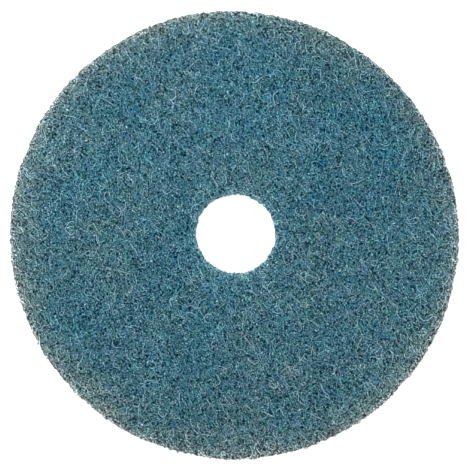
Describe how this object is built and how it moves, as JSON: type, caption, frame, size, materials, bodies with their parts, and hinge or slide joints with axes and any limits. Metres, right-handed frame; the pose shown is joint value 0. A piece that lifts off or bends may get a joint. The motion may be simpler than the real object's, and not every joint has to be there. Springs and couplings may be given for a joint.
{
  "type": "surface conditioning disc",
  "caption": "Round flexible disc of non-woven abrasive web with a centre hole, for cleaning and blending metal surfaces on a disc sander.",
  "frame": {"origin": "middle of the back face, at the bottom centre of the disc", "axes": "+Z through the thickness, out of the working face; X to the right and Y to the top of the picture"},
  "size_m": [0.1251, 0.1249, 0.0057],
  "materials": {
    "nonwoven_web": "matte felted mat of curly resin-bonded fibres, blue-grey"
  },
  "bodies": {
    "root": {"abrasive_disc": "nonwoven_web"}
  },
  "joints": []
}
